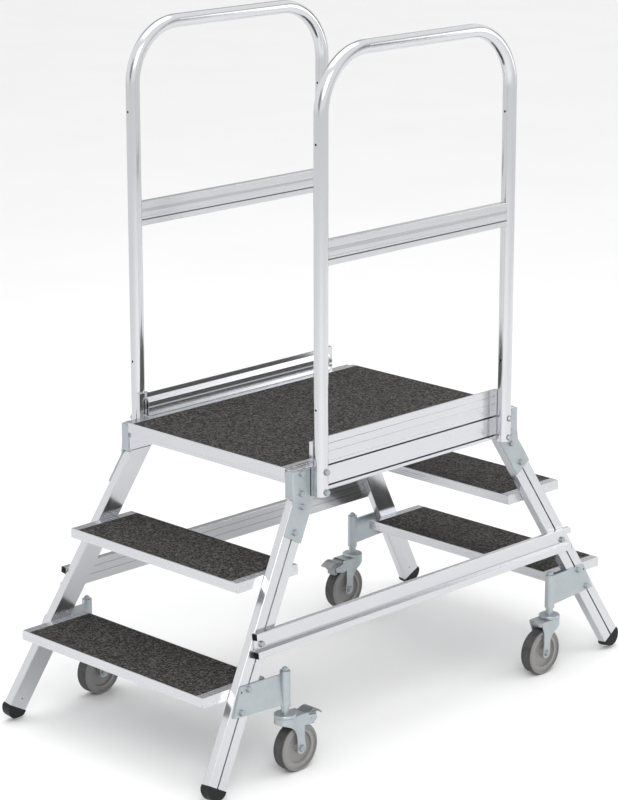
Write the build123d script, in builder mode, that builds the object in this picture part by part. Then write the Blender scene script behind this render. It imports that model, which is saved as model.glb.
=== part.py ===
from build123d import *
from math import cos, degrees, radians, sin, tan
import os

# Rolling warehouse steps: a platform between two mirrored two-step stairs, on four sprung castors.
# Millimetres. X runs along the walking direction, Y across the width, Z up from the floor.
# Handed pieces are drawn in the right front quarter (+X, -Y) and mirrored into the others.

# ---- main sizes ----
FOOT_Z = 8.0  # the unloaded castor springs hold the rubber feet this far off the floor
STEP_RISE = 240.0
DECK_TOP = FOOT_Z + 3 * STEP_RISE
STEP_TOPS = (FOOT_Z + STEP_RISE, FOOT_Z + 2 * STEP_RISE)
STEP_NOSES = (722.9, 582.4)  # outer edge of the lower and upper tread
STEP_DEPTH = 200.0
STEP_SKIRT = 25.0
SHEET = 2.5
GRIP = 0.8

# ---- stringers ----
PITCH = radians(59.8)
LEAN = radians(6.92)
FOOT_X = 742.25  # slot line of the stringer, level with the soles
FOOT_Y = 380.1
STRINGER_W = 58.0
STRINGER_D = 24.0
STRINGER_CUT = 35.0  # from the sole level up to the lower saw cut, along the stringer
STRINGER_L = 760.0  # before the level top cut
SLOT_W = 4.5
SLOT_WALL = 3.0
CHANNEL_W = 14.0
CHANNEL_DEPTH = 10.0

# ---- platform ----
BEAM_OUTER = 301.5
BEAM_D = 22.0
BEAM_H = 71.0
BEAM_BOTTOM = FOOT_Z + 645.0
BEAM_TOP = BEAM_BOTTOM + BEAM_H
BEAM_HALF = 401.0
BEAM_SLOT = 10.5  # slot line from each edge of the beam
PLATE_X = 405.5  # outer face of the platform's end lips
LIP_H = 26.0
LIP_HALF = 279.5
TOE_H = 61.0
TOE_D = 12.0
TOE_HALF = 325.0
# Section of the toe board, inwards from its outer face and up from the beam.
TOE_OUTLINE = (
    (0, 0),
    (TOE_D, 0),
    (TOE_D, 3),
    (9.5, 10),
    (9.5, 22),
    (TOE_D, 27),
    (TOE_D, 38),
    (4.5, 50),
    (4.5, TOE_H),
    (0, TOE_H),
)
TOE_HOLLOW = ((3.2, 2.5), (9.0, 2.5), (7.3, 10), (7.3, 23), (9.8, 28), (9.8, 36.5), (3.2, 47))
CROSSBAR_W = 25.0
CROSSBAR_H = 36.0

# ---- handrails ----
TUBE_R = 17.5
TUBE_WALL = 2.0
POST_X = 330.0
POST_Y = 324.6
RAIL_Z = FOOT_Z + 1700.0
BEND_R = 145.0
KNEE_BOTTOM = FOOT_Z + 1202.5
KNEE_H = 60.0
KNEE_D = 20.0
PIN_HOLE_R = 3.0
PIN_HOLES = (FOOT_Z + 858.0, FOOT_Z + 1490.0)
SADDLE_Y = 313.0
SADDLE_HALF = 16.0
NOTCH_Z = FOOT_Z + 720.0

# ---- braces and brackets ----
BRACE_H = 61.0
BRACE_D = 16.0
BRACE_WEB = 3.0
BRACE_CHAMBER = 16.0
BRACE_WALL = 1.8
BRACE_HALF = 571.0
BRACE_Z = FOOT_Z + 332.0
CORNER_T = 4.5
FLANGE_Y = 279.8
CORNER_BEND = 3.5
CORNER_DROP = 3.0  # the bracket's top edge below the top of the beam
CASTOR_PLATE_T = 5.0

# ---- fasteners, M8 ----
SHANK_R = 4.0
HOLE_R = 4.3
HEAD_AF = 13.0
HEAD_H = 5.3
WASHER_R = 7.8
WASHER_T = 1.5
NUT_W = 13.2
NUT_T = 5.0
SHANK_END = 9.0  # depth of the shank's end inside a slotted bar
BEAM_BOLTS_X = 377.0
BEAM_BOLTS_Z = (BEAM_BOTTOM + BEAM_SLOT, BEAM_TOP - BEAM_SLOT)
CORNER_BOLTS_Z = (FOOT_Z + 623.0, FOOT_Z + 567.6)
CASTOR_BOLTS_Z = (FOOT_Z + 237.6, FOOT_Z + 187.8)

# ---- castors ----
CASTOR_X = 486.0
CASTOR_Y = 359.0
TRAIL = 34.0
WHEEL_R = 60.0
RIM_R = 52.0
TYRE_HALF = 17.0
HUB_R = 12.0
HUB_HALF = 18.5
AXLE_R = 5.0
FIT = 0.05
FORK_IN = 19.0
FORK_OUT = 22.0
FORK_TOP = 146.0
FORK_PLATE = 4.0
CROWN_R = 27.0
KINGPIN_R = 8.0
RACE_R = 27.5
STEM_R = 9.75
ROD_R = 4.0
SLEEVE_R = 12.8
SLEEVE_Z = (173.0, 262.0)
SLEEVE_CAP = 4.0
STEM_SHOULDER = 203.0
SPRING_R = 8.0
SPRING_WIRE = 1.0
SPRING_TURNS = 6
PEDAL_HINGE = (68.0, 127.0)
PEDAL_PIN_R = 3.0
PEDAL_HALF = 18.6
PEDAL_TIP_HALF = 20.5

RIGHT, LEFT = 1, -1
FRONT, BACK = -1, 1
X_NAMES = {RIGHT: "right", LEFT: "left"}
Y_NAMES = {FRONT: "front", BACK: "back"}
BRAKED = ((LEFT, FRONT), (RIGHT, BACK))

LEAN_OUT = Vector(0, -cos(LEAN), sin(LEAN))
LEAN_UP = Vector(0, sin(LEAN), cos(LEAN))
ALONG = Vector(-cos(PITCH), 0, 0) + LEAN_UP * sin(PITCH)
ACROSS = Vector(sin(PITCH), 0, 0) + LEAN_UP * cos(PITCH)
FOOT = Vector(FOOT_X, -FOOT_Y, FOOT_Z)

os.makedirs("parts", exist_ok=True)


def patch(x0, x1, y0, y1, mode=Mode.ADD):
    """Rectangle between two pairs of limits in the sketch being drawn."""
    with Locations(((x0 + x1) / 2, (y0 + y1) / 2)):
        Rectangle(x1 - x0, y1 - y0, mode=mode)


def slot_point(z):
    """Point of the stringer's slot line at a height above the floor."""
    return FOOT + ALONG * ((z - FOOT_Z) / (cos(LEAN) * sin(PITCH)))


def lean_face(out=0.0):
    """Plane of the stringers' outer faces moved outwards; local x along X, local y up the lean."""
    return Plane(origin=Vector(0, -FOOT_Y, FOOT_Z) + LEAN_OUT * out, x_dir=(1, 0, 0), z_dir=LEAN_OUT)


def lean_seat(z, out, side=RIGHT):
    """Seat of a bolt on the slot line of a stringer."""
    point = slot_point(z)
    origin = Vector(side * point.X, point.Y, point.Z) + LEAN_OUT * out
    return Plane(origin=origin, x_dir=(1, 0, 0), z_dir=LEAN_OUT)


def upright_seat(x, y, z):
    """Seat of a bolt that points across the width."""
    return Plane(origin=(x, -y, z), x_dir=(1, 0, 0), z_dir=(0, -1, 0))


def bar_end(half_length, y, z):
    """Left end of a bar that runs along X; local x inwards from its outer face, local y up."""
    return Plane(origin=(-half_length, -y, z), x_dir=(0, 1, 0), z_dir=(1, 0, 0))


def inner_y(z):
    """Distance of the stringers' inner faces from the middle plane at a height."""
    return FOOT_Y - tan(LEAN) * (z - FOOT_Z) - STRINGER_D / cos(LEAN)


def castor_planes(x_side, y_side):
    """Floor plane and upright plane of a castor, local x along its trail, which points inwards."""
    origin = (x_side * CASTOR_X, y_side * CASTOR_Y, 0)
    level = Plane(origin=origin, x_dir=(-x_side, 0, 0), z_dir=(0, 0, 1))
    upright = Plane(origin=origin, x_dir=(-x_side, 0, 0), z_dir=(0, x_side, 0))
    return level, upright


def save(part, name):
    part.label = name
    export_step(part, f"parts/{name}.step")


def save_quarters(part, name):
    """Right front piece and its three mirror images."""
    for x_side in (RIGHT, LEFT):
        for y_side in (FRONT, BACK):
            piece = part
            if x_side == LEFT:
                piece = mirror(piece, about=Plane.YZ)
            if y_side == BACK:
                piece = mirror(piece, about=Plane.XZ)
            save(piece, f"{name}_{Y_NAMES[y_side]}_{X_NAMES[x_side]}")


def save_sides(part, name):
    """Front piece and its mirror image at the back."""
    save(part, f"{name}_front")
    save(mirror(part, about=Plane.XZ), f"{name}_back")


BEAM_SEATS = [upright_seat(BEAM_BOLTS_X, BEAM_OUTER + CORNER_T, z) for z in BEAM_BOLTS_Z]
POST_SEATS = [upright_seat(POST_X, POST_Y + TUBE_R + 0.2, z) for z in BEAM_BOLTS_Z]
CORNER_SEATS = [lean_seat(z, CORNER_T) for z in CORNER_BOLTS_Z]
CASTOR_SEATS = [lean_seat(z, CASTOR_PLATE_T) for z in CASTOR_BOLTS_Z]
BRACE_SEAT = lean_seat(BRACE_Z, BRACE_WEB)


# ---- stringers and their feet ----
stringer_end = Plane(origin=FOOT + ALONG * STRINGER_CUT, x_dir=ACROSS, z_dir=ALONG)
half_w = STRINGER_W / 2
half_channel = CHANNEL_W / 2

with BuildPart() as stringer:
    with BuildSketch(stringer_end):
        patch(-half_w, half_w, 0, STRINGER_D)
        fillet(vertices(), 2.0)
        patch(-SLOT_W / 2, SLOT_W / 2, -1, SLOT_WALL + 1, mode=Mode.SUBTRACT)
        patch(-half_channel, half_channel, SLOT_WALL, CHANNEL_DEPTH, mode=Mode.SUBTRACT)
        patch(-half_channel, half_channel, CHANNEL_DEPTH + 2, STRINGER_D - 2, mode=Mode.SUBTRACT)
        patch(half_channel + 2, half_w - 2, 2, STRINGER_D - 2, mode=Mode.SUBTRACT)
        patch(-half_w + 2, -half_channel - 2, 2, STRINGER_D - 2, mode=Mode.SUBTRACT)
    extrude(amount=STRINGER_L)
    with BuildSketch(Plane.XY.offset(BEAM_BOTTOM)):
        patch(200, 600, -420, -200)
    extrude(amount=150, mode=Mode.SUBTRACT)
    for seat in CORNER_SEATS + CASTOR_SEATS + [BRACE_SEAT]:
        with BuildSketch(seat):
            Circle(HOLE_R)
        extrude(amount=-(CHANNEL_DEPTH + 2), mode=Mode.SUBTRACT)
    with BuildSketch(lean_face(-STRINGER_D - 1)):
        with Locations((FOOT_X - 30, 52)):
            Circle(2)
    extrude(amount=4, mode=Mode.SUBTRACT)

with BuildPart() as feet:
    # Cap on the saw cut, with a rounded sole that is flat where it meets the floor.
    side_x, side_y = sin(PITCH) * (half_w + 1), cos(PITCH) * (half_w + 1)
    cut_x = FOOT_X - STRINGER_CUT * cos(PITCH)
    cut_y = STRINGER_CUT * sin(PITCH)
    drop_x, drop_y = 9.0 * cos(PITCH), 9.0 * sin(PITCH)
    with BuildSketch(lean_face(1.0)):
        with BuildLine():
            heel = (cut_x + side_x + drop_x, cut_y + side_y - drop_y)
            toe = (cut_x - side_x + drop_x, cut_y - side_y - drop_y)
            Polyline(heel, (cut_x + side_x, cut_y + side_y), (cut_x - side_x, cut_y - side_y), toe)
            ThreePointArc(toe, (723.5, 0.6), heel)
        make_face()
    extrude(amount=-(STRINGER_D + 2))
    with BuildSketch(Plane.XY.offset(FOOT_Z)):
        patch(650, 800, -420, -320)
    extrude(amount=-12, mode=Mode.SUBTRACT)
    with BuildSketch(stringer_end):
        for middle in (-(half_w + half_channel) / 2, (half_w + half_channel) / 2):
            plug = (half_w - half_channel) / 2 - 2.3
            patch(middle - plug, middle + plug, 2.3, STRINGER_D - 2.3)
    extrude(amount=22)
    mirror(about=Plane.YZ)
    mirror(about=Plane.XZ)

save_quarters(stringer.part, "stringer")
save(feet.part, "rubber_feet")

# ---- folded treads ----
for level, top, nose in zip(("lower", "upper"), STEP_TOPS, STEP_NOSES):
    tray_top = top - GRIP
    tray_low = top - STEP_SKIRT
    with BuildPart() as tray:
        with BuildSketch(Plane.YZ.offset(nose - STEP_DEPTH)):
            with BuildLine():
                Polyline(
                    (-inner_y(tray_top), tray_top),
                    (inner_y(tray_top), tray_top),
                    (inner_y(tray_low), tray_low),
                    (-inner_y(tray_low), tray_low),
                    close=True,
                )
            make_face()
        extrude(amount=STEP_DEPTH)
        fillet(edges().filter_by(Axis.Y).group_by(Axis.Z)[-1], 1.5)
        with BuildSketch(Plane.XY.offset(tray_low)):
            patch(nose - STEP_DEPTH + SHEET, nose - SHEET, -inner_y(tray_top) + 4, inner_y(tray_top) - 4)
        extrude(amount=STEP_SKIRT - GRIP - SHEET, mode=Mode.SUBTRACT)
        # Narrow relief where the folded skirts meet at the four corners.
        for x in (nose - STEP_DEPTH, nose):
            for side in (-1, 1):
                with BuildSketch(Plane.XY.offset(tray_low)):
                    patch(x - 1.2, x + 1.2, side * inner_y(tray_low) - 6, side * inner_y(tray_low) + 6)
                extrude(amount=7, mode=Mode.SUBTRACT)
    save(tray.part, f"tread_{level}_right")
    save(mirror(tray.part, about=Plane.YZ), f"tread_{level}_left")

with BuildPart() as grips:
    for top, nose in zip(STEP_TOPS, STEP_NOSES):
        with BuildSketch(Plane.XY.offset(top - GRIP)):
            patch(nose - STEP_DEPTH + 4, nose - 4, -inner_y(top) + 25, inner_y(top) - 25)
        extrude(amount=GRIP)
    mirror(about=Plane.YZ)
    with BuildSketch(Plane.XY.offset(DECK_TOP - GRIP)):
        patch(-PLATE_X + 5, PLATE_X - 5, -262, 262)
    extrude(amount=GRIP)
save(grips.part, "grip_panels")

# ---- platform ----
with BuildPart() as deck:
    deck_z = DECK_TOP - GRIP
    with BuildSketch(Plane.XY.offset(BEAM_TOP)):
        patch(-BEAM_HALF, BEAM_HALF, -BEAM_OUTER + BEAM_D, BEAM_OUTER - BEAM_D)
        patch(-PLATE_X, PLATE_X, -LIP_HALF, LIP_HALF)
    extrude(amount=deck_z - BEAM_TOP)
    for side in (-1, 1):
        with BuildSketch(Plane.XY.offset(DECK_TOP - LIP_H)):
            lip_x = sorted((side * BEAM_HALF, side * PLATE_X))
            patch(lip_x[0], lip_x[1], -LIP_HALF, LIP_HALF)
        extrude(amount=LIP_H - GRIP - 1)
    fillet(edges().filter_by(Axis.Y).group_by(Axis.Z)[-1], 1.2)
save(deck.part, "deck_tray")

with BuildPart() as crossbars:
    with BuildSketch(Plane.XZ.offset(-BEAM_OUTER + BEAM_D)):
        x_out = BEAM_HALF
        patch(x_out - CROSSBAR_W, x_out, BEAM_TOP - CROSSBAR_H, BEAM_TOP)
        patch(x_out - CROSSBAR_W + 2, x_out - 2, BEAM_TOP - CROSSBAR_H + 2, BEAM_TOP - 2, mode=Mode.SUBTRACT)
    extrude(amount=2 * (BEAM_OUTER - BEAM_D))
    mirror(about=Plane.YZ)
save(crossbars.part, "deck_crossbars")

with BuildPart() as beam:
    with BuildSketch(bar_end(BEAM_HALF, BEAM_OUTER, BEAM_BOTTOM)):
        patch(0, BEAM_D, 0, BEAM_H)
        fillet(vertices(), 1.2)
        for line in (BEAM_SLOT, BEAM_H - BEAM_SLOT):
            low, high = line - half_channel, line + half_channel
            patch(-1, SLOT_WALL + 1, line - SLOT_W / 2, line + SLOT_W / 2, mode=Mode.SUBTRACT)
            patch(SLOT_WALL, CHANNEL_DEPTH, low, high, mode=Mode.SUBTRACT)
            patch(CHANNEL_DEPTH + 2, BEAM_D - 2, low, high, mode=Mode.SUBTRACT)
        low, high = BEAM_SLOT + half_channel + 2, BEAM_H - BEAM_SLOT - half_channel - 2
        patch(2, BEAM_D - 2, low, high, mode=Mode.SUBTRACT)
    extrude(amount=2 * BEAM_HALF)
    for x in (-BEAM_BOLTS_X, -POST_X, POST_X, BEAM_BOLTS_X):
        for z in BEAM_BOLTS_Z:
            with BuildSketch(upright_seat(x, BEAM_OUTER + 1, z)):
                Circle(HOLE_R)
            extrude(amount=-(SLOT_WALL + 2), mode=Mode.SUBTRACT)
save_sides(beam.part, "side_beam")

with BuildPart() as toe_board:
    with BuildSketch(bar_end(TOE_HALF, BEAM_OUTER, BEAM_TOP)):
        Polygon(*TOE_OUTLINE, align=None)
        Polygon(*TOE_HOLLOW, align=None, mode=Mode.SUBTRACT)
        # decorative lines on the outer face
        patch(-1, 1.6, TOE_H - 18.8, TOE_H - 17.2, mode=Mode.SUBTRACT)
        patch(-1, 1.0, TOE_H - 38.2, TOE_H - 35.8, mode=Mode.SUBTRACT)
    extrude(amount=2 * TOE_HALF)
save_sides(toe_board.part, "toe_board")

# ---- handrails ----
with BuildPart() as handrail:
    with BuildLine(Plane.XZ.offset(POST_Y)) as rail_path:
        bend_z = RAIL_Z - BEND_R
        bend_x = POST_X - BEND_R
        Line((-POST_X, BEAM_BOTTOM), (-POST_X, bend_z))
        RadiusArc((-POST_X, bend_z), (-bend_x, RAIL_Z), BEND_R)
        Line((-bend_x, RAIL_Z), (bend_x, RAIL_Z))
        RadiusArc((bend_x, RAIL_Z), (POST_X, bend_z), BEND_R)
        Line((POST_X, bend_z), (POST_X, BEAM_BOTTOM))
    with BuildSketch(Plane(origin=(-POST_X, -POST_Y, BEAM_BOTTOM), x_dir=(1, 0, 0), z_dir=(0, 0, 1))):
        Circle(TUBE_R)
        Circle(TUBE_R - TUBE_WALL, mode=Mode.SUBTRACT)
    sweep(path=rail_path.line)
    # The lower ends are cut away towards the platform, with a short slope above the cut.
    with BuildSketch(Plane.YZ.offset(-POST_X - TUBE_R - 1)):
        with BuildLine():
            Polyline(
                (-SADDLE_Y, BEAM_BOTTOM - 1),
                (-SADDLE_Y, NOTCH_Z),
                (-POST_Y + TUBE_R + 1, NOTCH_Z + 15),
                (-POST_Y + TUBE_R + 1, BEAM_BOTTOM - 1),
                close=True,
            )
        make_face()
    extrude(amount=2 * (POST_X + TUBE_R + 1), mode=Mode.SUBTRACT)
    for x in (-POST_X, POST_X):
        for z in BEAM_BOLTS_Z:
            with BuildSketch(upright_seat(x, POST_Y + TUBE_R + 1, z)):
                Circle(HOLE_R)
            extrude(amount=-20, mode=Mode.SUBTRACT)
    for z in PIN_HOLES:
        with BuildSketch(bar_end(POST_X + TUBE_R + 1, POST_Y, z)):
            Circle(PIN_HOLE_R)
        extrude(amount=2 * (POST_X + TUBE_R + 1), mode=Mode.SUBTRACT)
save_sides(handrail.part, "handrail")

with BuildPart() as saddles:
    with BuildSketch(Plane.XZ.offset(BEAM_OUTER)):
        patch(POST_X - SADDLE_HALF, POST_X + SADDLE_HALF, BEAM_BOTTOM, BEAM_TOP + TOE_H)
    extrude(amount=SADDLE_Y - BEAM_OUTER)
    with BuildSketch(Plane.XY.offset(NOTCH_Z)):
        with Locations((POST_X, -POST_Y)):
            Circle(TUBE_R + 0.3)
    extrude(amount=80, mode=Mode.SUBTRACT)
    for z in BEAM_BOLTS_Z:
        with BuildSketch(upright_seat(POST_X, SADDLE_Y + 1, z)):
            Circle(HOLE_R)
        extrude(amount=-20, mode=Mode.SUBTRACT)
    mirror(about=Plane.YZ)
    mirror(about=Plane.XZ)
save(saddles.part, "post_saddles")

with BuildPart() as knee_rail:
    outer_y = POST_Y + KNEE_D / 2
    with BuildSketch(bar_end(POST_X, outer_y, KNEE_BOTTOM)):
        patch(0, KNEE_D, 0, KNEE_H)
        fillet(vertices(), 1.5)
        for face, depth in ((0, 1.6), (KNEE_D, -1.6)):
            low, high = sorted((face - depth, face + depth))
            patch(low, high, KNEE_H - 18.8, KNEE_H - 17.2, mode=Mode.SUBTRACT)
        for face, depth in ((0, 1.0), (KNEE_D, -1.0)):
            low, high = sorted((face - depth, face + depth))
            patch(low, high, KNEE_H - 38.2, KNEE_H - 35.8, mode=Mode.SUBTRACT)
        patch(3.5, KNEE_D - 3.5, 3, KNEE_H - 3, mode=Mode.SUBTRACT)
    extrude(amount=2 * POST_X)
    with BuildSketch(Plane.XY.offset(KNEE_BOTTOM - 1)):
        with Locations((-POST_X, -POST_Y), (POST_X, -POST_Y)):
            Circle(TUBE_R + 0.1)
    extrude(amount=KNEE_H + 2, mode=Mode.SUBTRACT)
save_sides(knee_rail.part, "knee_rail")

# ---- braces between the stairs ----
brace_mid = (BRACE_Z - FOOT_Z) / cos(LEAN)
brace_low = Vector(-BRACE_HALF, -FOOT_Y, FOOT_Z) + LEAN_UP * (brace_mid - BRACE_H / 2)
brace_end = Plane(origin=brace_low, x_dir=-LEAN_OUT, z_dir=(1, 0, 0))
chambers = (0, BRACE_H - BRACE_CHAMBER)

with BuildPart() as brace:
    with BuildSketch(brace_end):
        patch(-BRACE_D, 0, 0, BRACE_H)
        fillet(vertices(), 1.5)
        patch(-BRACE_D - 1, -BRACE_WEB, BRACE_CHAMBER, BRACE_H - BRACE_CHAMBER, mode=Mode.SUBTRACT)
        for low in chambers:
            patch(
                -BRACE_D + BRACE_WALL,
                -BRACE_WALL,
                low + BRACE_WALL,
                low + BRACE_CHAMBER - BRACE_WALL,
                mode=Mode.SUBTRACT,
            )
    extrude(amount=2 * BRACE_HALF)
    for side in (LEFT, RIGHT):
        with BuildSketch(lean_seat(BRACE_Z, BRACE_WEB + 1, side)):
            Circle(HOLE_R)
        extrude(amount=-BRACE_WEB - 3, mode=Mode.SUBTRACT)
save_sides(brace.part, "brace")

with BuildPart() as plugs:
    for low in chambers:
        with BuildSketch(brace_end):
            patch(-BRACE_D + 0.4, -0.4, low + 0.4, low + BRACE_CHAMBER - 0.4)
        extrude(amount=-1.5)
        with BuildSketch(brace_end):
            plug_gap = BRACE_WALL + 0.1
            patch(-BRACE_D + plug_gap, -plug_gap, low + plug_gap, low + BRACE_CHAMBER - plug_gap)
        extrude(amount=10)
    mirror(about=Plane.YZ)
    mirror(about=Plane.XZ)
save(plugs.part, "brace_plugs")

# ---- zinc-plated brackets ----
with BuildPart() as corner_bracket:
    # Bent sheet: upright on the beam, leaning on the stringer.
    bend_height = FOOT_Z + (FOOT_Y - BEAM_OUTER) / tan(LEAN)
    bend = Vector(0, -BEAM_OUTER, bend_height)
    bend_out = Vector(0, -BEAM_OUTER - CORNER_T, bend_height + CORNER_T * tan(LEAN / 2))
    low_in = bend - LEAN_UP * 130
    low_out = low_in + LEAN_OUT * CORNER_T
    with BuildSketch(Plane.YZ.offset(POST_X)):
        with BuildLine():
            Polyline(
                (-BEAM_OUTER, BEAM_TOP - CORNER_DROP),
                (bend.Y, bend.Z),
                (low_in.Y, low_in.Z),
                (low_out.Y, low_out.Z),
                (bend_out.Y, bend_out.Z),
                (-BEAM_OUTER - CORNER_T, BEAM_TOP - CORNER_DROP),
                close=True,
            )
        make_face()
    extrude(amount=130)
    # Outline seen from the side: a tab on the beam and a strip as wide as the stringer.
    tilt = Vector(ALONG.X, 0, ALONG.Z).normalized()
    broad = Vector(tilt.Z, 0, -tilt.X) * half_w
    low_mid = Vector(slot_point(CORNER_BOLTS_Z[1]).X, 0, CORNER_BOLTS_Z[1]) - tilt * 17
    out_low, in_low = low_mid + broad, low_mid - broad
    out_high = out_low + tilt * ((PLATE_X - out_low.X) / tilt.X)
    in_high = in_low + tilt * ((BEAM_BOTTOM - 2 - in_low.Z) / tilt.Z)
    post_clear = POST_X + TUBE_R + 0.5
    with BuildSketch(Plane.XZ.offset(BEAM_OUTER - 10)):
        with BuildLine():
            Polyline(
                (post_clear, BEAM_TOP),
                (PLATE_X, BEAM_TOP),
                (out_high.X, out_high.Z),
                (out_low.X, out_low.Z),
                (in_low.X, in_low.Z),
                (in_high.X, in_high.Z),
                (post_clear, in_high.Z),
                close=True,
            )
        make_face()
    extrude(amount=60, mode=Mode.INTERSECT)
    # Flange round the end of the beam.
    with BuildSketch(Plane.YZ.offset(BEAM_HALF)):
        patch(-BEAM_OUTER - CORNER_T, -FLANGE_Y, BEAM_BOTTOM, BEAM_TOP - CORNER_DROP)
        fillet(vertices().group_by(Axis.Z)[0].sort_by(Axis.Y)[-1], 8)
    extrude(amount=PLATE_X - BEAM_HALF)
    corner = (PLATE_X, -BEAM_OUTER - CORNER_T, BEAM_TOP - BEAM_H / 2)
    fillet(edges().filter_by(Axis.Z).sort_by_distance(corner)[0], CORNER_BEND)
    for seat in BEAM_SEATS + CORNER_SEATS:
        with BuildSketch(seat):
            Circle(HOLE_R)
        extrude(amount=-CORNER_T - 2, mode=Mode.SUBTRACT)
save_quarters(corner_bracket.part, "corner_bracket")

with BuildPart() as castor_bracket:
    with BuildSketch(lean_face()):
        with BuildLine():
            Polyline(
                (CASTOR_X + 6, 246.8),
                (627, 249.8),
                (657.5, 180.3),
                (CASTOR_X + 6, 171.3),
                close=True,
            )
        make_face()
        fillet(vertices().group_by(Axis.X)[-1], 3)
    extrude(amount=CASTOR_PLATE_T)
    with BuildSketch(Plane.XY.offset(SLEEVE_Z[0])):
        with Locations((CASTOR_X, -CASTOR_Y)):
            Circle(SLEEVE_R)
    extrude(amount=SLEEVE_Z[1] - SLEEVE_Z[0])
    with BuildSketch(Plane.XY.offset(SLEEVE_Z[0] - 5)):
        with Locations((CASTOR_X, -CASTOR_Y)):
            Circle(STEM_R + FIT)
    extrude(amount=SLEEVE_Z[1] - SLEEVE_CAP - SLEEVE_Z[0] + 5, mode=Mode.SUBTRACT)
    with BuildSketch(Plane.XY.offset(SLEEVE_Z[0])):
        with Locations((CASTOR_X, -CASTOR_Y)):
            Circle(ROD_R + 0.3)
    extrude(amount=SLEEVE_Z[1] - SLEEVE_Z[0] + 5, mode=Mode.SUBTRACT)
    for seat in CASTOR_SEATS:
        with BuildSketch(seat):
            Circle(HOLE_R)
        extrude(amount=-CASTOR_PLATE_T - 2, mode=Mode.SUBTRACT)
    with BuildSketch(lean_face(CASTOR_PLATE_T + 1)):
        with Locations((626, 236.5)):
            Circle(3)
    extrude(amount=-CASTOR_PLATE_T - 2, mode=Mode.SUBTRACT)
save_quarters(castor_bracket.part, "castor_bracket")

# ---- bolts and slot nuts ----
# Each seat is paired with the distance from the seat down to the slotted bar's outer face.
GRIPS = [(seat, CORNER_T) for seat in BEAM_SEATS + CORNER_SEATS]
GRIPS += [(seat, POST_Y + TUBE_R + 0.2 - BEAM_OUTER) for seat in POST_SEATS]
GRIPS += [(seat, CASTOR_PLATE_T) for seat in CASTOR_SEATS]
GRIPS += [(BRACE_SEAT, BRACE_WEB)]

with BuildPart() as bolts:
    for seat, grip in GRIPS:
        with BuildSketch(seat):
            Circle(WASHER_R)
        extrude(amount=WASHER_T)
        with BuildSketch(seat.offset(WASHER_T)):
            RegularPolygon(radius=HEAD_AF / 2, side_count=6, major_radius=False)
        extrude(amount=HEAD_H)
        with BuildSketch(seat):
            Circle(SHANK_R)
        extrude(amount=-(grip + SHANK_END))
    mirror(about=Plane.YZ)
    mirror(about=Plane.XZ)
save(bolts.part, "hex_bolts")

with BuildPart() as slot_nuts:
    for seat, grip in GRIPS:
        with BuildSketch(seat.offset(-grip - SLOT_WALL - 0.1)):
            if seat in BEAM_SEATS + POST_SEATS:
                Rectangle(NUT_W, NUT_W)
            else:
                Rectangle(NUT_W, NUT_W, rotation=90 - degrees(PITCH))
            Circle(SHANK_R + 0.1, mode=Mode.SUBTRACT)
        extrude(amount=-NUT_T)
    mirror(about=Plane.YZ)
    mirror(about=Plane.XZ)
save(slot_nuts.part, "slot_nuts")

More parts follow.
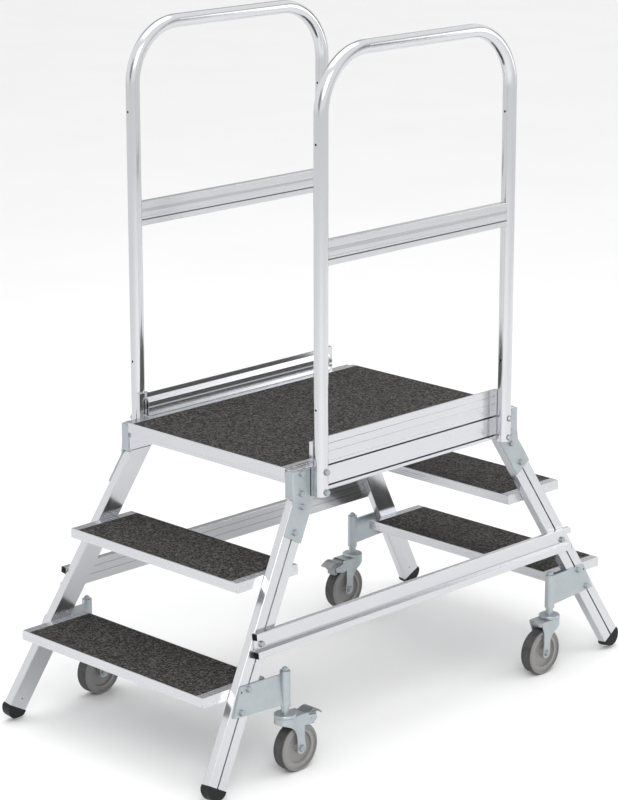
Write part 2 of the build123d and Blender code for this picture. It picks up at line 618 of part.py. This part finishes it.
# ---- castors ----
for x_side in (LEFT, RIGHT):
    for y_side in (FRONT, BACK):
        place = f"{Y_NAMES[y_side]}_{X_NAMES[x_side]}"
        level, upright = castor_planes(x_side, y_side)
        braked = (x_side, y_side) in BRAKED
        axle = Vector(x_side * (CASTOR_X - TRAIL), y_side * CASTOR_Y, WHEEL_R)
        radial = Plane(origin=axle, x_dir=(1, 0, 0), z_dir=(0, 0, 1))
        spin = Axis(axle, (0, 1, 0))

        with BuildPart() as stem:
            with BuildSketch(level.offset(FORK_TOP - FORK_PLATE - 6)):
                Circle(KINGPIN_R + 4)
            extrude(amount=5.7)
            with BuildSketch(level.offset(FORK_TOP - FORK_PLATE - 1)):
                Circle(KINGPIN_R)
            extrude(amount=FORK_PLATE + 3)
            with BuildSketch(level.offset(FORK_TOP + 1)):
                Circle(RACE_R)
            extrude(amount=7)
            fillet(edges().filter_by(GeomType.CIRCLE).group_by(Axis.Z)[-1], 3)
            with BuildSketch(level.offset(FORK_TOP + 7)):
                Circle(STEM_R)
            extrude(amount=STEM_SHOULDER - FORK_TOP - 7)
            with BuildSketch(level.offset(STEM_SHOULDER - 1)):
                Circle(ROD_R)
            extrude(amount=SLEEVE_Z[1] + 9 - STEM_SHOULDER + 1)
            with BuildSketch(level.offset(SLEEVE_Z[1])):
                RegularPolygon(radius=HEAD_AF / 2, side_count=6, major_radius=False)
            extrude(amount=6.5)
        save(stem.part, f"castor_stem_{place}")

        with BuildPart() as spring:
            spring_low = STEM_SHOULDER + SPRING_WIRE
            spring_high = SLEEVE_Z[1] - SLEEVE_CAP - SPRING_WIRE
            with BuildLine(level.offset(spring_low)) as coil:
                Helix((spring_high - spring_low) / SPRING_TURNS, spring_high - spring_low, SPRING_R)
            with BuildSketch(coil.line ^ 0):
                Circle(SPRING_WIRE)
            sweep(path=coil.line)
        save(spring.part, f"castor_spring_{place}")

        with BuildPart() as fork:
            with BuildSketch(level.offset(WHEEL_R - 16)):
                with BuildLine():
                    flat_x = TRAIL - 14
                    RadiusArc((0, -CROWN_R), (0, CROWN_R), CROWN_R)
                    Polyline((0, CROWN_R), (flat_x, FORK_OUT), (86, FORK_OUT))
                    Polyline((86, FORK_OUT), (86, -FORK_OUT), (flat_x, -FORK_OUT), (0, -CROWN_R))
                make_face()
            extrude(amount=FORK_TOP - WHEEL_R + 16)
            with BuildSketch(level.offset(WHEEL_R - 17)):
                with BuildLine():
                    hollow_r = CROWN_R - 3
                    RadiusArc((0, -hollow_r), (0, hollow_r), hollow_r)
                    Polyline((0, hollow_r), (flat_x, FORK_IN), (90, FORK_IN))
                    Polyline((90, FORK_IN), (90, -FORK_IN), (flat_x, -FORK_IN), (0, -hollow_r))
                make_face()
            extrude(amount=FORK_TOP - FORK_PLATE - WHEEL_R + 17, mode=Mode.SUBTRACT)
            with BuildSketch(level.offset(FORK_TOP - FORK_PLATE - 1)):
                patch(48, 90, -FORK_IN, FORK_IN)
            extrude(amount=10, mode=Mode.SUBTRACT)
            with BuildSketch(upright):
                with BuildLine():
                    leg = TRAIL - 14
                    Polyline((-30, FORK_TOP + 4), (-30, 130), (-26, 130))
                    ThreePointArc((-26, 130), (6, 115), (leg, 78))
                    Line((leg, 78), (leg, WHEEL_R))
                    ThreePointArc((leg, WHEEL_R), (TRAIL, WHEEL_R - 14), (TRAIL + 14, WHEEL_R))
                    Polyline((TRAIL + 14, WHEEL_R), (TRAIL + 10, 84), (TRAIL + 10, 116))
                    if braked:
                        Polyline((TRAIL + 10, 116), (58, 114), (80, 118), (86, 126), (84, 134), (60, 138))
                        Polyline((60, 138), (50, FORK_TOP + 4), (-30, FORK_TOP + 4))
                    else:
                        Polyline((TRAIL + 10, 116), (54, 140), (54, 150), (-30, FORK_TOP + 4))
                make_face()
            extrude(amount=40, both=True, mode=Mode.INTERSECT)
            with BuildSketch(level.offset(FORK_TOP - FORK_PLATE - 1)):
                Circle(KINGPIN_R + FIT)
            extrude(amount=10, mode=Mode.SUBTRACT)
            with BuildSketch(upright.offset(-30)):
                with Locations((TRAIL, WHEEL_R)):
                    Circle(AXLE_R + 0.3)
            extrude(amount=60, mode=Mode.SUBTRACT)
            if braked:
                with BuildSketch(upright.offset(-FORK_OUT - 1)):
                    with Locations(PEDAL_HINGE):
                        Circle(PEDAL_PIN_R)
                extrude(amount=2 * FORK_OUT + 2)
        save(fork.part, f"castor_fork_{place}")

        with BuildPart() as axle_bolt:
            with BuildSketch(upright.offset(-FORK_OUT - 6)):
                with Locations((TRAIL, WHEEL_R)):
                    Circle(AXLE_R)
            extrude(amount=2 * FORK_OUT + 6)
            with BuildSketch(upright.offset(FORK_OUT)):
                with Locations((TRAIL, WHEEL_R)):
                    RegularPolygon(radius=7.5, side_count=6, major_radius=False)
            extrude(amount=5)
            with BuildSketch(upright.offset(-FORK_OUT)):
                with Locations((TRAIL, WHEEL_R)):
                    RegularPolygon(radius=7.5, side_count=6, major_radius=False)
            extrude(amount=-5)
        save(axle_bolt.part, f"castor_axle_{place}")

        with BuildPart() as rim:
            with BuildSketch(radial):
                patch(AXLE_R + FIT, HUB_R, -HUB_HALF, HUB_HALF)
                patch(HUB_R - 1, 41, -7, 7)
                patch(40, RIM_R, -14, 14)
                patch(RIM_R - 3, RIM_R, -15.5, 15.5)
            revolve(axis=spin)
        save(rim.part, f"castor_rim_{place}")

        with BuildPart() as tyre:
            with BuildSketch(radial):
                patch(RIM_R, WHEEL_R, -TYRE_HALF, TYRE_HALF)
                fillet(vertices().group_by(Axis.X)[-1], 5)
            revolve(axis=spin)
        save(tyre.part, f"castor_tyre_{place}")

        if braked:
            with BuildPart() as pedal:
                with BuildSketch(upright):
                    with BuildLine():
                        Spline((53, 143), (66, 145), (80, 148), (92, 144), (104, 135))
                        Line((104, 135), (102, 132))
                        Spline((102, 132), (91, 140), (80, 144), (66, 141), (53, 139))
                        Line((53, 139), (53, 143))
                    make_face()
                extrude(amount=PEDAL_HALF, both=True)
                with BuildSketch(upright):
                    with BuildLine():
                        Polyline((90, 144.2), (104, 135), (102, 132), (89, 141.2), close=True)
                    make_face()
                extrude(amount=PEDAL_TIP_HALF, both=True)
                for out, thick in ((PEDAL_HALF, -3), (-PEDAL_HALF, 3)):
                    with BuildSketch(upright.offset(out)):
                        with BuildLine():
                            Polyline((57, 141), (88, 142), (82, 124), (70, 120), (62, 121), close=True)
                        make_face()
                    extrude(amount=thick)
                with BuildSketch(upright):
                    patch(74, 84, 109.5, 146)
                extrude(amount=14, both=True)
                with BuildSketch(upright.offset(-FORK_OUT)):
                    with Locations(PEDAL_HINGE):
                        Circle(PEDAL_PIN_R + FIT)
                extrude(amount=2 * FORK_OUT, mode=Mode.SUBTRACT)
            save(pedal.part, f"brake_pedal_{place}")
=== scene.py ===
import math

import bpy
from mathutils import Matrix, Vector


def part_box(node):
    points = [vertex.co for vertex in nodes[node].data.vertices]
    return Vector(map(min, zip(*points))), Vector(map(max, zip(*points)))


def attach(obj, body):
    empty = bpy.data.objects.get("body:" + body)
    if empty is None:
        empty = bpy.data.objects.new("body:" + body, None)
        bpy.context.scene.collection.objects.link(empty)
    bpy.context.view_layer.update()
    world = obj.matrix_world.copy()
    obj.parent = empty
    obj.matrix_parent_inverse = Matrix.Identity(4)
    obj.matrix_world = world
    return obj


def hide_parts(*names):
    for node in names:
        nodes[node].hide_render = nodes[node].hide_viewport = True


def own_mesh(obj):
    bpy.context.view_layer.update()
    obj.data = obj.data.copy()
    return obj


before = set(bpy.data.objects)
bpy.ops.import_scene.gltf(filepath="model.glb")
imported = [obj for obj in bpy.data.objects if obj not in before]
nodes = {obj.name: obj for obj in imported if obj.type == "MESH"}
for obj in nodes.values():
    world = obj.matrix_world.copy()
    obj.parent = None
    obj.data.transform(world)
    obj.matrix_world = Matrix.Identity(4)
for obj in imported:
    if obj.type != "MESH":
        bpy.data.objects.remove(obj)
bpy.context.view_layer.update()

QUARTER_TURN = math.radians(90)
PITCH = math.radians(59.8)  # slope of the stairs
CORNERS = ("front_left", "front_right", "back_left", "back_right")

# ---- colours, linear ----
# Painted shade: near-black colour for bands painted where grooves would be in shade.
PAINTED_GROOVE_SHADE = (0.02, 0.02, 0.022)
GRIT_BINDER = (0.003, 0.003, 0.003)
GRIT_COARSE = (0.125, 0.120, 0.117)
GRIT_FINE = (0.11, 0.105, 0.10)
GRIT_BROWN = (0.080, 0.050, 0.036)
TYRE_WALL = (0.185, 0.183, 0.180)
TYRE_TREAD = (0.034, 0.034, 0.035)
RIM_GREY = (0.235, 0.230, 0.225)
FLOOR_DARK = (0.86, 0.86, 0.86)
FLOOR_LIGHT = (0.88, 0.88, 0.88)

# ---- fine detail, metres ----
TYRE_RING_PITCH = 0.0035
RIM_RING_PITCH = 0.0028
GRAINS_PER_METRE = (250, 470)
# Painted shade lines along a bar, standing in for the shade of grooves and a cove that the mesh lacks:
# height above the floor, half width, depth of painted shade.
# Knee rail: a thin dark painted groove shade, then a broad painted cove shade.
KNEE_RAIL_PAINTED_SHADE = ((1.2255, 0.0016, 0.85), (1.2475, 0.0035, 0.22))
# Brace: two thin painted groove shade lines.
BRACE_PAINTED_SHADE = ((0.3530, 0.0009, 0.5), (0.3330, 0.0009, 0.5))

# ---- studio and camera ----
FLOOR_SIZE = 60
WORLD_STRENGTH = 1.12
# Dark flags: direction, half angle in degrees, brightness left.
FLAGS = (
    ((1.0, -0.55, 0.12), 24, 0.25),
    ((0.5, 0.9, 0.5), 22, 0.35),
    ((-1.0, -0.1, 0.25), 16, 0.3),
)
# Area lights: name, place, aim, size, watts.
LIGHTS = (
    ("key", (-3.2, -3.8, 4.2), (0, 0, 0.7), (2.6, 2.6), 120),
    ("fill", (4.5, -3.0, 2.4), (0, 0, 0.8), (2.0, 3.0), 40),
    ("top", (0.0, 0.5, 5.0), (0, 0, 0.5), (3.5, 3.5), 60),
)
FLAG_EDGE = (1.35, 0.65)  # where a flag starts and is full, as shares of its half angle
LENS_MM = 123.38
SENSOR_MM = 36.0
CAMERA_SHIFT = (-0.0156, -0.0104)
CAMERA_AIM = (0, 0, 0.7826)
CAMERA_DISTANCE = 6.93
CAMERA_AZIMUTH = math.radians(-45.33)
CAMERA_ELEVATION = math.radians(15.23)
CLIP_END = 100


# ---- material helpers ----
class Tree:
    """Small builder for a material's node tree."""

    def __init__(self, name):
        self.material = bpy.data.materials.new(name)
        self.material.use_nodes = True
        self.nodes = self.material.node_tree.nodes
        self.links = self.material.node_tree.links
        self.shader = self.nodes["Principled BSDF"]

    def add(self, kind, **settings):
        node = self.nodes.new(kind)
        for key, value in settings.items():
            setattr(node, key, value)
        return node

    def link(self, source, target):
        self.links.new(source, target)

    def coords(self, scale=(1, 1, 1), turn=(0, 0, 0)):
        """Object coordinates, turned first and then stretched."""
        place = self.add("ShaderNodeTexCoord")
        rotate = self.add("ShaderNodeVectorRotate", rotation_type="EULER_XYZ")
        rotate.inputs["Rotation"].default_value = turn
        self.link(place.outputs["Object"], rotate.inputs["Vector"])
        stretch = self.add("ShaderNodeVectorMath", operation="MULTIPLY")
        stretch.inputs[1].default_value = scale
        self.link(rotate.outputs[0], stretch.inputs[0])
        return stretch.outputs[0]

    def noise(self, vector, scale, detail=4.0, roughness=0.55):
        node = self.add("ShaderNodeTexNoise")
        node.inputs["Scale"].default_value = scale
        node.inputs["Detail"].default_value = detail
        node.inputs["Roughness"].default_value = roughness
        self.link(vector, node.inputs["Vector"])
        return node.outputs[0]

    def ramp(self, value, low, high, start=0.3, end=0.7):
        """Maps a value between two numbers or two colours."""
        if isinstance(low, tuple):
            node = self.add("ShaderNodeValToRGB")
            node.color_ramp.elements[0].position = start
            node.color_ramp.elements[0].color = (*low, 1)
            node.color_ramp.elements[1].position = end
            node.color_ramp.elements[1].color = (*high, 1)
            self.link(value, node.inputs[0])
            return node.outputs[0]
        node = self.add("ShaderNodeMapRange")
        node.inputs["From Min"].default_value = start
        node.inputs["From Max"].default_value = end
        node.inputs["To Min"].default_value = low
        node.inputs["To Max"].default_value = high
        self.link(value, node.inputs["Value"])
        return node.outputs[0]

    def mix(self, factor, first, second, blend="MIX"):
        node = self.add("ShaderNodeMix", data_type="RGBA", blend_type=blend)
        for socket, value in ((0, factor), (6, first), (7, second)):
            if isinstance(value, (int, float)):
                node.inputs[socket].default_value = value
            elif isinstance(value, tuple):
                node.inputs[socket].default_value = (*value, 1)
            else:
                self.link(value, node.inputs[socket])
        return node.outputs[2]

    def bump(self, height, strength, distance, previous=None):
        node = self.add("ShaderNodeBump")
        node.inputs["Strength"].default_value = strength
        node.inputs["Distance"].default_value = distance
        self.link(height, node.inputs["Height"])
        if previous is not None:
            self.link(previous, node.inputs["Normal"])
        return node.outputs[0]

    def band(self, axis, centre, half):
        """1 within half a width of a place on one object axis, with soft edges."""
        split = self.add("ShaderNodeSeparateXYZ")
        self.link(self.add("ShaderNodeTexCoord").outputs["Object"], split.inputs[0])
        away = self.add("ShaderNodeMath", operation="SUBTRACT")
        away.inputs[1].default_value = centre
        self.link(split.outputs[axis], away.inputs[0])
        size = self.add("ShaderNodeMath", operation="ABSOLUTE")
        self.link(away.outputs[0], size.inputs[0])
        return self.ramp(size.outputs[0], 1.0, 0.0, half * 0.75, half * 1.25)

    def radius(self, centre):
        """Distance from a line through a point along Y, in metres."""
        shift = self.add("ShaderNodeVectorMath", operation="SUBTRACT")
        shift.inputs[1].default_value = centre
        self.link(self.add("ShaderNodeTexCoord").outputs["Object"], shift.inputs[0])
        flat = self.add("ShaderNodeVectorMath", operation="MULTIPLY")
        flat.inputs[1].default_value = (1, 0, 1)
        self.link(shift.outputs[0], flat.inputs[0])
        length = self.add("ShaderNodeVectorMath", operation="LENGTH")
        self.link(flat.outputs[0], length.inputs[0])
        return length.outputs["Value"]

    def rings(self, centre, pitch):
        """Concentric rings round the axle, 0 to 1."""
        wave = self.add("ShaderNodeMath", operation="MULTIPLY")
        wave.inputs[1].default_value = 2 * math.pi / pitch
        self.link(self.radius(centre), wave.inputs[0])
        sine = self.add("ShaderNodeMath", operation="SINE")
        self.link(wave.outputs[0], sine.inputs[0])
        return self.ramp(sine.outputs[0], 0.0, 1.0, 0.2, 0.9)

    def finish(self, colour, roughness, metallic=0.0, normal=None, **extra):
        for socket, value in (("Base Color", colour), ("Roughness", roughness), ("Metallic", metallic)):
            if isinstance(value, (int, float)):
                self.shader.inputs[socket].default_value = value
            elif isinstance(value, tuple):
                self.shader.inputs[socket].default_value = (*value, 1)
            else:
                self.link(value, self.shader.inputs[socket])
        if normal is not None:
            self.link(normal, self.shader.inputs["Normal"])
        for socket, value in extra.items():
            self.shader.inputs[socket.replace("_", " ")].default_value = value
        return self.material


def aluminium(name, turn=(0, 0, 0), base=0.61, rough=0.18, painted_shade_lines=()):
    """Natural extrusion: die lines along the local X axis, faint handling marks and dull patches.

    Painted shade lines are dark bands painted along the bar where grooves and a cove would be in shade;
    the mesh has no groove there.
    """
    tree = Tree(name)
    lines = tree.noise(tree.coords((1.5, 420, 420), turn), 1.0, 6, 0.6)
    broad = tree.noise(tree.coords((0.5, 55, 55), turn), 1.0, 3)
    cloud = tree.noise(tree.coords(), 7.0, 5)
    marks = tree.noise(tree.coords((45, 800, 800), turn), 1.0, 2)
    tint = tree.ramp(cloud, (base * 0.965, base * 0.98, base * 1.02), (base, base * 1.01, base * 1.04))
    tint = tree.mix(tree.ramp(broad, 0.0, 0.25), tint, (base * 0.86, base * 0.88, base * 0.92))
    tint = tree.mix(tree.ramp(marks, 0.0, 0.12, 0.64, 0.76), tint, (base * 0.72, base * 0.73, base * 0.75))
    dull = tree.ramp(lines, rough - 0.04, rough + 0.07)
    normal = tree.bump(lines, 0.06, 0.0003)
    normal = tree.bump(cloud, 0.02, 0.002, normal)
    # Painted shade: each band darkens the colour towards near black and dents the bump, with no groove in
    # the mesh.
    for height, half, shade in painted_shade_lines:
        painted_shade_mask = tree.band("Z", height, half)
        painted_shade_depth = tree.add("ShaderNodeMath", operation="MULTIPLY")
        painted_shade_depth.inputs[1].default_value = shade
        tree.link(painted_shade_mask, painted_shade_depth.inputs[0])
        tint = tree.mix(painted_shade_depth.outputs[0], tint, PAINTED_GROOVE_SHADE)
        normal = tree.bump(painted_shade_mask, -0.8 * shade, half, normal)
    return tree.finish(tint, dull, 0.94, normal)


def zinc(name, base=(0.415, 0.455, 0.475), rough=0.38):
    """Bright zinc plate on steel, with a soft spangle."""
    tree = Tree(name)
    cells = tree.add("ShaderNodeTexVoronoi", feature="F1")
    cells.inputs["Scale"].default_value = 260
    tree.link(tree.coords(), cells.inputs["Vector"])
    grain = tree.noise(tree.coords(), 900, 3)
    cloud = tree.noise(tree.coords(), 22, 5)
    tint = tree.ramp(cloud, tuple(c * 0.93 for c in base), tuple(c * 1.07 for c in base))
    tint = tree.mix(0.06, tint, cells.outputs["Color"], "SOFT_LIGHT")
    dull = tree.ramp(cloud, rough - 0.08, rough + 0.12)
    normal = tree.bump(grain, 0.12, 0.0003)
    return tree.finish(tint, dull, 0.85, normal)


def grit(name):
    """Bonded mineral grip: dark binder with pale and brownish grains of mixed size."""
    tree = Tree(name)
    coords = tree.coords()
    grains = []
    for size in GRAINS_PER_METRE:
        cells = tree.add("ShaderNodeTexVoronoi", feature="F1")
        cells.inputs["Scale"].default_value = size
        tree.link(coords, cells.inputs["Vector"])
        grains.append(cells)
    patchy = tree.noise(coords, 60, 5, 0.7)
    split = [tree.add("ShaderNodeSeparateColor") for _ in grains]
    for part, cells in zip(split, grains):
        tree.link(cells.outputs["Color"], part.inputs[0])
    tint = tree.ramp(split[0].outputs[0], GRIT_BINDER, GRIT_COARSE, 0.42, 1.0)
    fine = tree.ramp(split[1].outputs[1], GRIT_BINDER, GRIT_FINE, 0.55, 1.0)
    tint = tree.mix(0.35, tint, fine)
    tint = tree.mix(tree.ramp(split[0].outputs[2], 0.0, 0.5, 0.88, 0.95), tint, GRIT_BROWN)
    normal = tree.bump(grains[0].outputs["Distance"], 0.7, 0.0010)
    normal = tree.bump(grains[1].outputs["Distance"], 0.5, 0.0006, normal)
    return tree.finish(tint, tree.ramp(patchy, 0.70, 0.95), 0.0, normal, Specular_IOR_Level=0.22)


def rubber(name, base, rough=0.6, shine=0.3):
    """Moulded rubber with a fine pebbled skin and dusty high spots."""
    tree = Tree(name)
    coords = tree.coords()
    skin = tree.noise(coords, 800, 4)
    dust = tree.noise(coords, 35, 6, 0.65)
    tint = tree.ramp(dust, base, tuple(c * 1.35 + 0.004 for c in base))
    normal = tree.bump(skin, 0.25, 0.0004)
    dull = tree.ramp(dust, rough - 0.08, rough + 0.12)
    return tree.finish(tint, dull, 0.0, normal, Specular_IOR_Level=shine)


def tyre(name, centre, wall, tread):
    """Moulded tyre: grey side walls with fine rings, and a darker, dustier tread."""
    tree = Tree(name)
    coords = tree.coords()
    skin = tree.noise(coords, 800, 4)
    dust = tree.noise(coords, 45, 6, 0.65)
    side = tree.add("ShaderNodeSeparateXYZ")
    tree.link(tree.add("ShaderNodeTexCoord").outputs["Normal"], side.inputs[0])
    facing = tree.add("ShaderNodeMath", operation="ABSOLUTE")
    tree.link(side.outputs["Y"], facing.inputs[0])
    rings = tree.rings(centre, TYRE_RING_PITCH)
    ringed = tree.mix(rings, wall, tuple(c * 1.45 for c in wall))
    tint = tree.mix(tree.ramp(facing.outputs[0], 0.0, 1.0, 0.45, 0.85), tread, ringed)
    tint = tree.mix(tree.ramp(dust, 0.0, 0.25), tint, tuple(c * 1.2 for c in wall))
    normal = tree.bump(skin, 0.2, 0.0003)
    normal = tree.bump(rings, 0.25, 0.0004, normal)
    return tree.finish(tint, tree.ramp(dust, 0.52, 0.74), 0.0, normal, Specular_IOR_Level=0.35)


def rim(name, centre, base):
    """Moulded wheel centre: flow marks, and rings left by the turned mould."""
    tree = Tree(name)
    coords = tree.coords()
    flow = tree.noise(coords, 28, 5)
    fine = tree.noise(coords, 1100, 2)
    rings = tree.rings(centre, RIM_RING_PITCH)
    tint = tree.ramp(flow, tuple(c * 0.90 for c in base), tuple(c * 1.06 for c in base))
    tint = tree.mix(rings, tint, tuple(c * 1.18 for c in base))
    normal = tree.bump(fine, 0.10, 0.0003)
    normal = tree.bump(rings, 0.2, 0.0003, normal)
    return tree.finish(tint, tree.ramp(flow, 0.34, 0.5), 0.0, normal, Specular_IOR_Level=0.45)


def plastic(name, base, rough=0.42, shine=0.4):
    """Injection-moulded plastic with faint flow marks."""
    tree = Tree(name)
    coords = tree.coords()
    flow = tree.noise(coords, 28, 5)
    fine = tree.noise(coords, 1100, 2)
    tint = tree.ramp(flow, tuple(c * 0.88 for c in base), tuple(c * 1.08 for c in base))
    normal = tree.bump(fine, 0.10, 0.0003)
    dull = tree.ramp(flow, rough - 0.06, rough + 0.1)
    return tree.finish(tint, dull, 0.0, normal, Specular_IOR_Level=shine)


ALONG_X = aluminium("aluminium_x")
ALONG_Y = aluminium("aluminium_y", (0, 0, QUARTER_TURN), rough=0.24)
ALONG_Z = aluminium("aluminium_z", (0, QUARTER_TURN, 0), rough=0.13)
ALONG_STAIR = {
    "left": aluminium("aluminium_left", (0, PITCH, 0)),
    "right": aluminium("aluminium_right", (0, -PITCH, 0)),
}
ZINC = zinc("zinc_plate")
BOLT = zinc("zinc_bolt", (0.36, 0.39, 0.40), 0.30)
PEDAL = zinc("zinc_pedal", (0.25, 0.265, 0.275), 0.36)
GRIT = grit("grip_grit")
FOOT = rubber("foot_rubber", (0.007, 0.007, 0.008), 0.5, 0.22)
# Knee rails and braces carry painted groove and cove shade in their colour.
KNEE_RAIL = aluminium("aluminium_knee_rail_painted_shade", painted_shade_lines=KNEE_RAIL_PAINTED_SHADE)
BRACE = aluminium("aluminium_brace_painted_shade", painted_shade_lines=BRACE_PAINTED_SHADE)
PLUG = plastic("plug_plastic", (0.004, 0.004, 0.005), 0.45, 0.12)

# The first prefix that fits a node's name gives its material.
BY_PREFIX = (
    ("tread", ALONG_Y),
    ("deck_crossbars", ALONG_Y),
    ("deck_tray", ALONG_X),
    ("side_beam", ALONG_X),
    ("toe_board", ALONG_X),
    ("knee_rail", KNEE_RAIL),
    ("brace_plugs", PLUG),
    ("brace", BRACE),
    ("handrail", ALONG_Z),
    ("post_saddles", ALONG_Z),
    ("grip_panels", GRIT),
    ("rubber_feet", FOOT),
    ("corner_bracket", ZINC),
    ("castor_bracket", ZINC),
    ("castor_stem", ZINC),
    ("castor_fork", ZINC),
    ("castor_spring", BOLT),
    ("castor_axle", BOLT),
    ("brake_pedal", PEDAL),
    ("hex_bolts", BOLT),
    ("slot_nuts", BOLT),
)


def middle(name):
    """Centre of a node's box."""
    low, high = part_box(name)
    return [(a + b) / 2 for a, b in zip(low, high)]


def dress(name, obj):
    """Gives a CAD node its material."""
    if name.startswith("stringer"):
        material = ALONG_STAIR[name.rsplit("_", 1)[1]]
    elif name.startswith("castor_tyre"):
        corner = name.removeprefix("castor_tyre")
        material = tyre("tyre" + corner, middle(name), TYRE_WALL, TYRE_TREAD)
    elif name.startswith("castor_rim"):
        material = rim("rim" + name.removeprefix("castor_rim"), middle(name), RIM_GREY)
    else:
        material = next(m for prefix, m in BY_PREFIX if name.startswith(prefix))
    obj.data.materials.clear()
    obj.data.materials.append(material)


def castor_coil(corner):
    """Spring coil: a copy of the spring's mesh, parented to the stem's body in place of the hidden CAD
    spring.
    """
    name = "castor_spring_" + corner
    coil = bpy.data.objects.new("spring_coil_" + corner, nodes[name].data.copy())
    bpy.context.collection.objects.link(coil)
    coil.data.materials.clear()
    coil.data.materials.append(BOLT)
    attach(coil, "stem_" + corner)
    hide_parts(name)
    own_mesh(coil)


for name, obj in nodes.items():
    dress(name, obj)
for corner in CORNERS:
    castor_coil(corner)


# ---- studio ----
def stage_floor():
    tree = Tree("studio_floor")
    cloud = tree.noise(tree.coords(), 1.3, 3)
    tree.finish(tree.ramp(cloud, FLOOR_DARK, FLOOR_LIGHT), 0.7)
    bpy.ops.mesh.primitive_plane_add(size=FLOOR_SIZE)
    floor = bpy.context.object
    floor.name = "studio_floor"
    floor.data.materials.append(tree.material)


def area_light(name, location, target, size, power):
    data = bpy.data.lights.new(name, "AREA")
    data.shape = "RECTANGLE"
    data.size, data.size_y = size
    data.energy = power
    light = bpy.data.objects.new(name, data)
    bpy.context.collection.objects.link(light)
    light.location = location
    light.rotation_euler = (Vector(target) - Vector(location)).to_track_quat("-Z", "Y").to_euler()


def studio_world(strength, flags):
    """White surroundings with soft dark flags, which give the metal something to reflect."""
    world = bpy.data.worlds.new("studio")
    bpy.context.scene.world = world
    world.use_nodes = True
    tree = world.node_tree
    background = tree.nodes["Background"]
    background.inputs["Strength"].default_value = strength
    direction = tree.nodes.new("ShaderNodeTexCoord").outputs["Generated"]
    shade = None
    for aim, spread, dark in flags:
        toward = tree.nodes.new("ShaderNodeVectorMath")
        toward.operation = "DOT_PRODUCT"
        toward.inputs[1].default_value = Vector(aim).normalized()
        tree.links.new(direction, toward.inputs[0])
        edge = tree.nodes.new("ShaderNodeMapRange")
        edge.interpolation_type = "SMOOTHSTEP"
        outer, inner = (math.cos(math.radians(spread * share)) for share in FLAG_EDGE)
        edge.inputs["From Min"].default_value = outer
        edge.inputs["From Max"].default_value = inner
        edge.inputs["To Min"].default_value = 1.0
        edge.inputs["To Max"].default_value = dark
        tree.links.new(toward.outputs["Value"], edge.inputs["Value"])
        if shade is None:
            shade = edge.outputs[0]
        else:
            both = tree.nodes.new("ShaderNodeMath")
            both.operation = "MULTIPLY"
            tree.links.new(shade, both.inputs[0])
            tree.links.new(edge.outputs[0], both.inputs[1])
            shade = both.outputs[0]
    tree.links.new(shade, background.inputs["Color"])


def photo_camera():
    """Camera at the photograph's angle."""
    data = bpy.data.cameras.new("camera")
    data.lens = LENS_MM
    data.sensor_width = SENSOR_MM
    data.shift_x, data.shift_y = CAMERA_SHIFT
    data.clip_end = CLIP_END
    camera = bpy.data.objects.new("camera", data)
    bpy.context.collection.objects.link(camera)
    back = Vector((
        math.sin(CAMERA_AZIMUTH) * math.cos(CAMERA_ELEVATION),
        -math.cos(CAMERA_AZIMUTH) * math.cos(CAMERA_ELEVATION),
        math.sin(CAMERA_ELEVATION),
    ))
    camera.location = Vector(CAMERA_AIM) + back * CAMERA_DISTANCE
    camera.rotation_euler = (-back).to_track_quat("-Z", "Y").to_euler()
    return camera


stage_floor()
studio_world(WORLD_STRENGTH, FLAGS)
for light in LIGHTS:
    area_light(*light)
bpy.context.scene.view_settings.view_transform = "Standard"
bpy.context.scene.camera = photo_camera()
